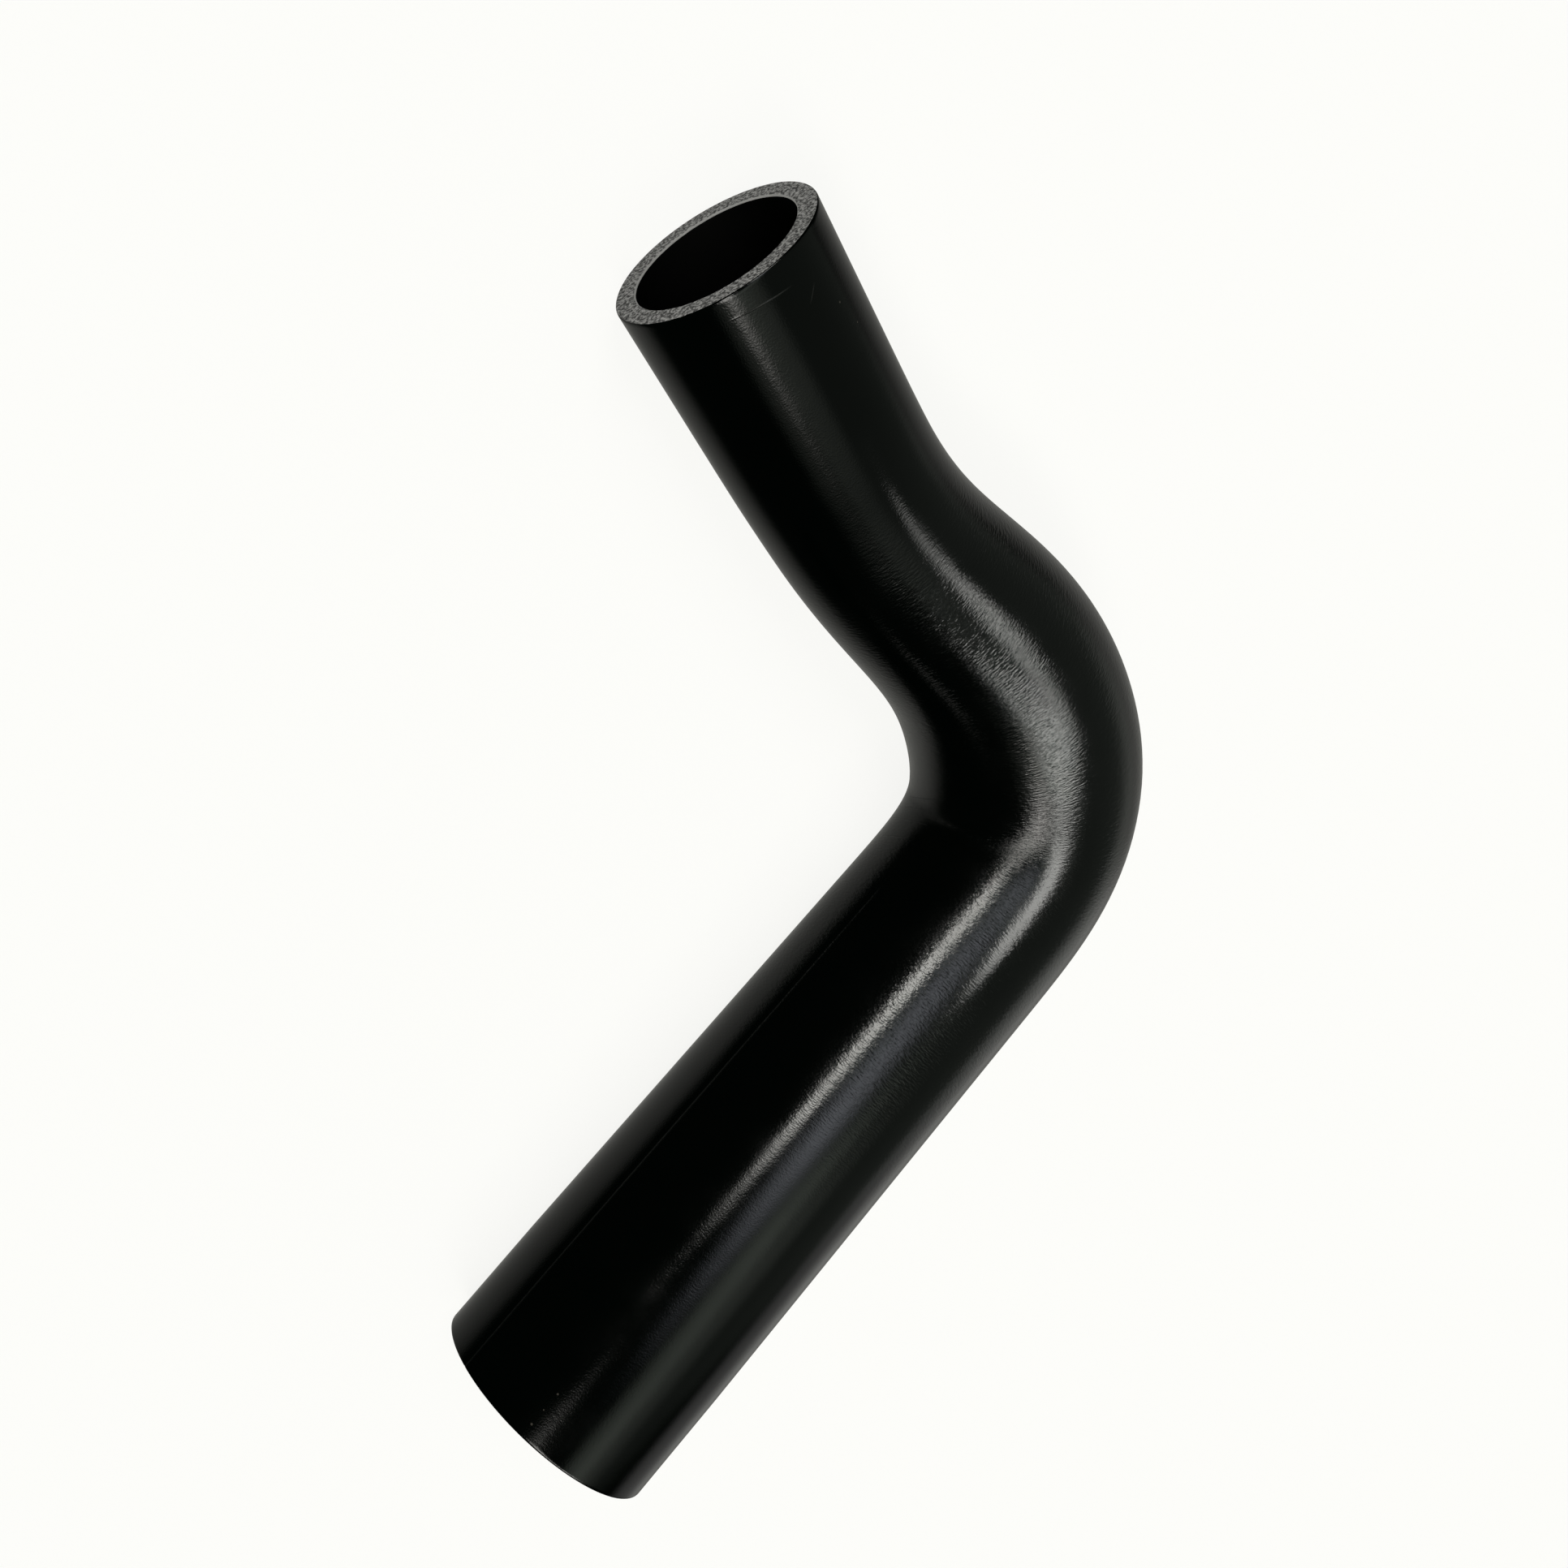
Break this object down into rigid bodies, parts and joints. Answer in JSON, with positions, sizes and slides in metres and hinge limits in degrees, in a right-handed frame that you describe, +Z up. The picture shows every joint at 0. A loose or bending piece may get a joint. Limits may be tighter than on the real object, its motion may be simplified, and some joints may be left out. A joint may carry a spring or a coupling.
{
  "type": "silicone hose",
  "caption": "Moulded silicone reducing elbow hose: a wide leg, a bend that narrows, and a narrow leg with a slight kick, open at both ends.",
  "frame": {"origin": "centre of the box that the hose fills as it lies, at the level of the surface it lies on", "axes": "+X along the wide leg from its mouth to the bend, +Y along the narrow leg towards its mouth, +Z up from the surface the hose lies on"},
  "size_m": [0.2618, 0.2308, 0.0696],
  "materials": {
    "silicone": "satin black silicone rubber with a fine grain, matt grey where it is cut"
  },
  "bodies": {
    "root": {"hose": "silicone"}
  },
  "joints": []
}
